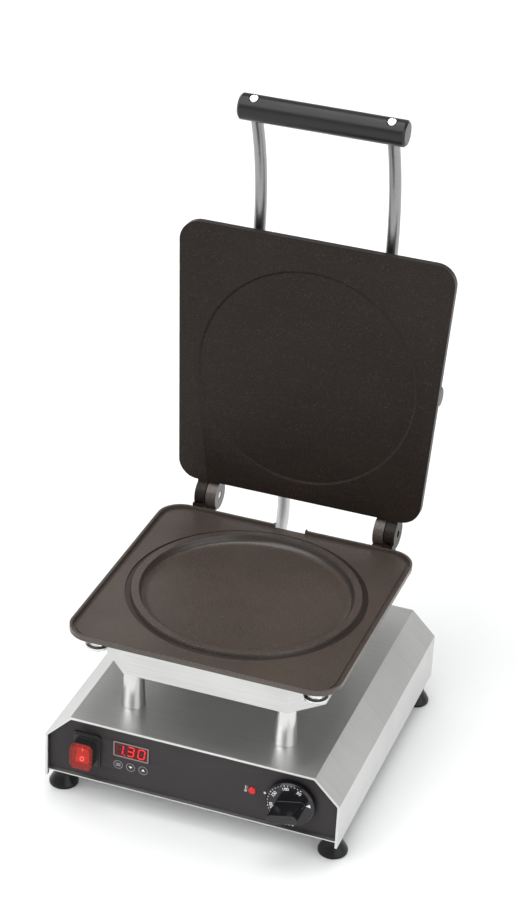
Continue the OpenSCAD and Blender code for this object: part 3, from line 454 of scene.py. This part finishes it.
def segment_loop(name, x, z):
    """One bar of the digit round (x, z), with pointed ends, slanting like a real display."""
    u0, v0, u1, v1 = SEGMENTS[name]
    ends = []
    for u, v in ((u0, v0), (u1, v1)):
        height = (v - 1) * DIGIT_TALL / 2
        ends.append((x + (u - 0.5) * DIGIT_WIDE + height * SLANT, z + height))
    (x0, z0), (x1, z1) = ends
    long = math.hypot(x1 - x0, z1 - z0)
    tx, tz = (x1 - x0) / long, (z1 - z0) / long

    def beside(along, across):
        return (x0 + tx * along - tz * across, z0 + tz * along + tx * across)

    first, last = BAR_GAP, long - BAR_GAP
    return [
        beside(first, 0),
        beside(first + BAR_TIP, -BAR_HALF),
        beside(last - BAR_TIP, -BAR_HALF),
        beside(last, 0),
        beside(last - BAR_TIP, BAR_HALF),
        beside(first + BAR_TIP, BAR_HALF),
    ]


def on_display(u, v, w):
    """u to the right and v up from the table, w out of the display's window."""
    return on_fascia(u, v, WINDOW_PROUD + w)


lit, unlit = [], []
for column, digit in enumerate("130"):
    x = DISPLAY_X - DIGITS_LEFT + (column - 1) * DIGIT_PITCH
    for name in SEGMENTS:
        (lit if name in DIGITS[digit] else unlit).append(segment_loop(name, x, DISPLAY_Z))
    point = circle_points(x + POINT_RIGHT, DISPLAY_Z - POINT_DOWN, POINT_R, 12)
    (lit if column == 0 else unlit).append(point)
flat_piece("display_lit", lit, on_display, 0.05, segment_lit, "base", "display_glass")
flat_piece("display_unlit", unlit, on_display, 0.05, segment_dark, "base", "display_glass")

# Print on the keys and the fascia

KEY_Z, KEY_PITCH, KEY_PROUD = 50.0, 13, 0.4
KEY_PRINT, FASCIA_PRINT = 0.04, 0.05
KEYS = {"start_key": DISPLAY_X - KEY_PITCH, "down_key": DISPLAY_X, "up_key": DISPLAY_X + KEY_PITCH}
# Half lengths and heights of the three short lines on the start key.
START_LINES = ((2.5, 1.2), (1.9, 0), (2.5, -1.2))


def on_key(u, v, w):
    """u to the right and v up from the table, w out of the keys' faces."""
    return on_fascia(u, v, KEY_PROUD + w)


def key_mark(name, body, shapes, mat):
    """Shapes given from the middle of the key."""
    moved = [[(KEYS[body] + u, KEY_Z + v) for u, v in loop] for loop in shapes]
    flat_piece(name, moved, on_key, KEY_PRINT, mat, body, "black_plastic")


for body in KEYS:
    key_mark("ring_" + body, body, ring_quads(0, 0, 4.3, 4.62), print_grey)
key_mark("mark_up_key", "up_key", [[(-1.8, -0.9), (1.8, -0.9), (0, 1.6)]], print_white)
key_mark("mark_down_key", "down_key", [[(-1.8, 1.1), (0, -1.4), (1.8, 1.1)]], print_white)
key_mark("mark_start_key", "start_key", [bar_loop(-u, v, u, v, 0.5) for u, v in START_LINES], print_grey)

# The thermometer sign beside the lamp: a bulb, a stem and three ticks. Then the dot beside the dial.
SIGN_X, SIGN_Z = 54.6, 57.3
bulb = circle_points(SIGN_X, SIGN_Z, 1.5, 20)
stem = bar_loop(SIGN_X, SIGN_Z + 0.6, SIGN_X, SIGN_Z + 5.8, 1.3)
ticks = [bar_loop(SIGN_X + 1.3, SIGN_Z + v, SIGN_X + 2.3, SIGN_Z + v, 0.35) for v in (2.2, 3.6, 5.0)]
dial_mark = circle_points(73.9, 60.0, 1.2, 20)
for name, shapes, mat in (
    ("thermometer_print", [bulb, stem, *ticks], print_grey), ("dial_mark", [dial_mark], print_white),
):
    flat_piece(name, shapes, on_fascia, FASCIA_PRINT, mat, "base", "fascia_coating")

# Thermostat

KNOB_X, KNOB_Z = 101.8, 59.2
DIAL_FRONT = 9.0
# Each number's height, its distance from the dial's middle, and its angle.
NUMERAL_SIZE, NUMERAL_R = 4.7, 18.4
NUMERALS = {"50": 63, "100": 106, "150": 150, "200": 194, "250": 237, "300": 281}
# Print starts this far above the dial.
LIFT = 0.03
dressed("thermostat_knob", knob_plastic, "knob", "black_plastic", 0.7, 3)
dressed("pilot_lamp", lamp_red, "base", "red_plastic", 0.2, 1)


def on_dial(u, v, w):
    """u to the right and v up from the dial's middle, w out of its face."""
    return at(KNOB_X + u, FASCIA_Y - DIAL_FRONT - w, KNOB_Z + v)


def lay_on_dial(mesh):
    for vertex in mesh.vertices:
        vertex.co = on_dial(vertex.co.x, vertex.co.y, LIFT + vertex.co.z)
    return mesh


def made_mesh(holder):
    """The mesh that an object comes to, leaving the object out of the scene."""
    bpy.context.view_layer.update()
    mesh = bpy.data.meshes.new_from_object(holder.evaluated_get(bpy.context.evaluated_depsgraph_get()))
    bpy.data.objects.remove(holder)
    return mesh


def numeral_mesh(text, degrees):
    """A dial number with its foot toward the middle of the dial."""
    curve = bpy.data.curves.new("numeral", "FONT")
    curve.body = text
    curve.size = NUMERAL_SIZE
    curve.align_x = "CENTER"
    curve.align_y = "CENTER"
    curve.extrude = 0.03
    curve.offset = 0.06
    holder = bpy.data.objects.new("numeral", curve)
    bpy.context.scene.collection.objects.link(holder)
    mesh = made_mesh(holder)
    angle = math.radians(degrees)
    spin = Matrix.Rotation(angle - math.pi / 2, 4, "Z")
    shift = Matrix.Translation((*polar(0, 0, NUMERAL_R, angle), 0))
    mesh.transform(shift @ spin)
    return lay_on_dial(mesh)


def join_meshes(name, meshes):
    """One mesh of several, with its edges joined."""
    bm = bmesh.new()
    for mesh in meshes:
        bm.from_mesh(mesh)
    bmesh.ops.remove_doubles(bm, verts=bm.verts, dist=1e-7)
    bmesh.ops.recalc_face_normals(bm, faces=bm.faces)
    result = bpy.data.meshes.new(name)
    bm.to_mesh(result)
    bm.free()
    return result


numerals = [numeral_mesh(text, degrees) for text, degrees in NUMERALS.items()]
to_object("dial_numbers", join_meshes("dial_numbers", numerals), print_white, "knob", "black_plastic")


def dot_arc_tree(mat):
    """Round dots along an arc: their number, the arc and the dot are inputs."""
    tree = bpy.data.node_groups.new("dots on an arc", "GeometryNodeTree")
    tree.interface.new_socket("Dots", in_out="INPUT", socket_type="NodeSocketInt")
    for name in ("Arc Radius", "First Angle", "Sweep", "Dot Radius", "Thickness"):
        tree.interface.new_socket(name, in_out="INPUT", socket_type="NodeSocketFloat")
    tree.interface.new_socket("Geometry", in_out="OUTPUT", socket_type="NodeSocketGeometry")
    given = tree.nodes.new("NodeGroupInput")
    result = tree.nodes.new("NodeGroupOutput")
    arc = tree.nodes.new("GeometryNodeCurveArc")
    points = tree.nodes.new("GeometryNodeCurveToPoints")
    points.mode = "EVALUATED"
    dot = tree.nodes.new("GeometryNodeMeshCylinder")
    dot.inputs["Vertices"].default_value = 10
    place = tree.nodes.new("GeometryNodeInstanceOnPoints")
    whole = tree.nodes.new("GeometryNodeRealizeInstances")
    paint = tree.nodes.new("GeometryNodeSetMaterial")
    paint.inputs["Material"].default_value = mat
    link = tree.links.new
    link(given.outputs["Dots"], arc.inputs["Resolution"])
    link(given.outputs["Arc Radius"], arc.inputs["Radius"])
    link(given.outputs["First Angle"], arc.inputs["Start Angle"])
    link(given.outputs["Sweep"], arc.inputs["Sweep Angle"])
    link(given.outputs["Dot Radius"], dot.inputs["Radius"])
    link(given.outputs["Thickness"], dot.inputs["Depth"])
    link(arc.outputs["Curve"], points.inputs["Curve"])
    link(points.outputs["Points"], place.inputs["Points"])
    link(dot.outputs["Mesh"], place.inputs["Instance"])
    link(place.outputs["Instances"], whole.inputs["Geometry"])
    link(whole.outputs["Geometry"], paint.inputs["Geometry"])
    link(paint.outputs["Geometry"], result.inputs["Geometry"])
    return tree


def dot_arc(tree, settings):
    """The tree's mesh for the given input values, drawn flat round the origin in millimetres."""
    holder = bpy.data.objects.new("dots", bpy.data.meshes.new("dots"))
    bpy.context.scene.collection.objects.link(holder)
    modifier = holder.modifiers.new("dots", "NODES")
    modifier.node_group = tree
    for item in tree.interface.items_tree:
        if item.name in settings:
            modifier[item.identifier] = settings[item.name]
    return made_mesh(holder)


# The scale runs from the first number to the last; small dots, and a larger one at each number.
DOTS_R = 22.2
FIRST_DOT, LAST_DOT = min(NUMERALS.values()), max(NUMERALS.values())
dots = dot_arc_tree(print_white)
rows = []
for number, radius, thick in ((26, 0.42, 0.06), (len(NUMERALS), 0.58, 0.08)):
    row = dot_arc(dots, {
        "Dots": number, "Arc Radius": DOTS_R, "First Angle": math.radians(FIRST_DOT),
        "Sweep": math.radians(LAST_DOT - FIRST_DOT), "Dot Radius": radius, "Thickness": thick,
    })
    rows.append(lay_on_dial(row))
to_object("dial_dots", join_meshes("dial_dots", rows), print_white, "knob", "black_plastic")

# The pointer is a triangle: its angle on the dial, the radii of its tip and its far side, and half that side.
POINTER_ANGLE, TIP_R, FAR_R, FAR_HALF = math.radians(14.6), 16.6, 21.0, 1.9
far = polar(0, 0, FAR_R, POINTER_ANGLE)
pointer = [polar(0, 0, TIP_R, POINTER_ANGLE)]
pointer += [polar(*far, reach, POINTER_ANGLE + math.pi / 2) for reach in (FAR_HALF, -FAR_HALF)]
flat_piece("dial_pointer", [pointer], on_dial, 0.05, print_white, "knob", "black_plastic")

# Rocker marks, drawn where the rocker rests, in white print that is made to glow as painted light. Its two
# halves rise from the middle of its face to its ends.

ROCKER_X, ROCKER_Z, ROCKER_Y = -108.2, 59.9, -2.5
ROCKER_TILT = math.radians(7)
ROCKER_FRONT, ROCKER_RISE, ROCKER_HALF = 8.6, 2.4, 9
MARK_THICK = 0.15


def on_rocker(u, v, w):
    """u to the right and v up from the middle of the tilted rocker, w out of its face."""
    y = -ROCKER_FRONT - abs(v) * ROCKER_RISE / ROCKER_HALF - w
    return at(
        ROCKER_X + u,
        FASCIA_Y + ROCKER_Y + y * math.cos(ROCKER_TILT) + v * math.sin(ROCKER_TILT),
        ROCKER_Z - y * math.sin(ROCKER_TILT) + v * math.cos(ROCKER_TILT),
    )


for name, shapes in (
    ("rocker_on_mark", [bar_loop(0, 3.4, 0, 7.2, 0.9)]),
    ("rocker_off_mark", ring_quads(0, -5.2, 1.5, 2.2, 32)),
):
    flat_piece(name, shapes, on_rocker, MARK_THICK, mark_painted_glow, "rocker", "red_plastic")

# Lower griddle and its tray

dressed("lower_griddle", griddle_coat, "base", "coated_casting", 0.8, 3, 25)
dressed("lower_tray", tray_steel, "base", "stainless", 0.3, 2)
dressed("lower_plate_pins", polished, "base", "bright_metal", 0.3, 2)
dressed("hinge_pins", turned_steel, "base", "bright_metal", 0.3, 2)

# Lid

dressed("upper_griddle", lid_coat, "lid", "coated_casting", 1.0, 3, 25)
dressed("upper_hood", tray_steel, "lid", "stainless", 0.4, 3)
dressed("hood_screws", polished, "lid", "bright_metal", 0.2, 1)
dressed("hood_plug", foot_rubber, "lid", "black_rubber", 0.5, 3)
dressed("handle_rod_left", rod_steel, "lid", "bright_metal", 0.3, 1)
dressed("handle_rod_right", rod_steel, "lid", "bright_metal", 0.3, 1)
dressed("rod_nuts", polished, "lid", "bright_metal", 0.3, 2)
dressed("handle_grip", grip_plastic, "lid", "grip_plastic", 0.4, 2)
dressed("grip_screws", polished, "lid", "bright_metal", 0.15, 1)
dressed("upper_gland", polished, "lid", "bright_metal", 0.3, 2)
dressed("lower_gland", polished, "base", "bright_metal", 0.3, 2)
dressed("mains_inlet", black_plastic, "base", "black_plastic", 0.3, 2)

# Pieces inside

INSIDE = {
    "switch_body": black_plastic,
    "foot_screws": polished, "display_module": black_plastic, "control_board": board_green,
    "thermostat_shaft": polished, "thermostat_body": light_plastic, "terminal_block": light_plastic,
    "overheat_limiter": black_plastic, "leg_bolts": polished, "lower_insulation": mineral_wool,
    "lower_heater": heater_sheath, "upper_insulation": mineral_wool, "upper_heater": heater_sheath,
}
for node, mat in INSIDE.items():
    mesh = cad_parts[node].data
    mesh.materials.clear()
    mesh.materials.append(mat)

# Conduit

# It rises from the lower gland to the upper one, both given as (y, z); the upper one from the hinge, as the
# open lid leans.
CONDUIT_X, CONDUIT_R = -27.0, 6.5
LEAN = math.radians(2.9)
HINGE = (134.2, 196.7)
REACH, BACK = 28.3, 30.1
TOP = (
    HINGE[0] + REACH * math.sin(LEAN) + BACK * math.cos(LEAN),
    HINGE[1] + REACH * math.cos(LEAN) - BACK * math.sin(LEAN),
)
LOW = (148.0, 110.0)
BOW = 13
RINGS, SIDES = 72, 32
GROOVE = 0.12
STEP = 0.01
# How often the braid's pattern runs round the conduit, and the length that one run takes along it.
BRAID_ROUND, BRAID_LONG = 4.0, 10.0


def conduit_mid(t):
    """The middle line from the lower end, t = 0, to the upper end, t = 1, as (y, z)."""
    return (
        LOW[0] + (TOP[0] - LOW[0]) * (t * t * (3 - 2 * t)) + BOW * math.sin(math.pi * t) ** 2,
        LOW[1] + (TOP[1] - LOW[1]) * t,
    )


def conduit_slope(ring):
    """The middle line's lean from upright at a ring; the two end faces lie square to their glands."""
    if ring in (0, RINGS):
        return LEAN if ring else 0.0
    y0, z0 = conduit_mid(max(0, ring / RINGS - STEP))
    y1, z1 = conduit_mid(min(1, ring / RINGS + STEP))
    return math.atan2(y1 - y0, z1 - z0)


def conduit():
    """Closed braided tube, ridged ring by ring, that bends between cabinet and lid."""
    bm = bmesh.new()
    uv = bm.loops.layers.uv.new("along")
    line = [conduit_mid(i / RINGS) for i in range(RINGS + 1)]
    lengths = [0.0]
    for (y0, z0), (y1, z1) in zip(line, line[1:]):
        lengths.append(lengths[-1] + math.hypot(y1 - y0, z1 - z0))
    rows = []
    for i, (y, z) in enumerate(line):
        slope = conduit_slope(i)
        row = []
        for k in range(SIDES):
            across, out = polar(0, 0, CONDUIT_R - GROOVE * (i % 2), math.tau * k / SIDES)
            spot = at(CONDUIT_X + across, y + out * math.cos(slope), z - out * math.sin(slope))
            row.append(bm.verts.new(spot))
        rows.append(row)
    for i in range(RINGS):
        for k in range(SIDES):
            n = (k + 1) % SIDES
            face = bm.faces.new([rows[i][k], rows[i][n], rows[i + 1][n], rows[i + 1][k]])
            face.smooth = True
            for loop, (u, v) in zip(face.loops, ((k, i), (k + 1, i), (k + 1, i + 1), (k, i + 1))):
                loop[uv].uv = (u / SIDES * BRAID_ROUND, lengths[v] / BRAID_LONG)
    bm.faces.new(list(reversed(rows[0])))
    bm.faces.new(rows[-1])
    bmesh.ops.recalc_face_normals(bm, faces=bm.faces)
    mesh = bpy.data.meshes.new("conduit_braided")
    bm.to_mesh(mesh)
    bm.free()
    obj = bpy.data.objects.new("conduit_braided", mesh)
    bpy.context.scene.collection.objects.link(obj)
    obj.data.materials.append(conduit_braid)
    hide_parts("conduit")
    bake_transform(obj)


conduit()

# Floor, light and camera

FLOOR_HALF = 30.0
# Brightness of the surroundings by the height of the direction, 0 at the horizon and 1 overhead.
SKY = ((0.10, 0.88), (0.17, 0.50), (0.28, 0.36), (0.38, 0.40), (0.48, 0.46), (0.62, 0.34), (0.78, 0.20))
HORIZON, OVERHEAD, SKY_STRENGTH = 1.0, 0.14, 1.08
# The camera fitted to the photo: focal length and height of the frame in pixels, place in millimetres from
# the middle of the cabinet's foot, and two of its directions.
FOCAL_PX, FRAME_PX, SENSOR = 2424.35, 900, 36
CAMERA_PLACE = (637.789, -1924.906, 1440.915)
CAMERA_RIGHT = Vector((0.93997522, 0.33822637, 0.04527145))
CAMERA_FORWARD = Vector((-0.27681306, 0.83334048, -0.47845395))


def floor():
    mesh = bpy.data.meshes.new("floor")
    corners = [(FLOOR_HALF * sx, FLOOR_HALF * sy, 0) for sx, sy in ((-1, -1), (1, -1), (1, 1), (-1, 1))]
    mesh.from_pydata(corners, [], [(0, 1, 2, 3)])
    obj = bpy.data.objects.new("floor", mesh)
    bpy.context.scene.collection.objects.link(obj)
    mat = new_finish("pale floor", (0.94, 0.95, 0.95), 0.9, 0.0, 0.1)[0]
    obj.data.materials.append(mat)


def sky():
    world = bpy.data.worlds.new("studio")
    bpy.context.scene.world = world
    world.use_nodes = True
    tree = world.node_tree
    tree.nodes.clear()
    out = tree.nodes.new("ShaderNodeOutputWorld")
    back = tree.nodes.new("ShaderNodeBackground")
    where = tree.nodes.new("ShaderNodeTexCoord")
    split = tree.nodes.new("ShaderNodeSeparateXYZ")
    shade = tree.nodes.new("ShaderNodeValToRGB")
    for element, position, value in zip(shade.color_ramp.elements, (0.0, 1.0), (HORIZON, OVERHEAD)):
        element.position = position
        element.color = (value, value, value, 1)
    for position, value in SKY:
        shade.color_ramp.elements.new(position).color = (value, value, value, 1)
    tree.links.new(where.outputs["Generated"], split.inputs["Vector"])
    tree.links.new(split.outputs["Z"], shade.inputs["Fac"])
    tree.links.new(shade.outputs["Color"], back.inputs["Color"])
    back.inputs["Strength"].default_value = SKY_STRENGTH
    tree.links.new(back.outputs["Background"], out.inputs["Surface"])


def lamp(name, direction, strength, softness):
    """A distant lamp that shines from the given direction; softness is its width in degrees."""
    data = bpy.data.lights.new(name, "SUN")
    data.energy = strength
    data.angle = math.radians(softness)
    obj = bpy.data.objects.new(name, data)
    bpy.context.scene.collection.objects.link(obj)
    obj.matrix_world = Vector(direction).to_track_quat("Z", "Y").to_matrix().to_4x4()


def camera():
    data = bpy.data.cameras.new("camera")
    data.sensor_fit = "AUTO"
    data.sensor_width = SENSOR
    data.lens = FOCAL_PX / FRAME_PX * SENSOR
    data.clip_end = 100
    obj = bpy.data.objects.new("camera", data)
    bpy.context.scene.collection.objects.link(obj)
    up = CAMERA_RIGHT.cross(CAMERA_FORWARD)
    turn = Matrix((CAMERA_RIGHT, up, -CAMERA_FORWARD)).transposed()
    obj.matrix_world = Matrix.Translation(at(*CAMERA_PLACE)) @ turn.to_4x4()
    bpy.context.scene.camera = obj


floor()
sky()
lamp("key light", (-0.50, -0.60, 0.95), 1.45, 50)
lamp("fill light", (0.95, -0.45, 0.45), 0.95, 60)
lamp("overhead light", (0.0, 0.15, 1.0), 1.55, 45)
camera()
bpy.context.scene.view_settings.view_transform = "Standard"
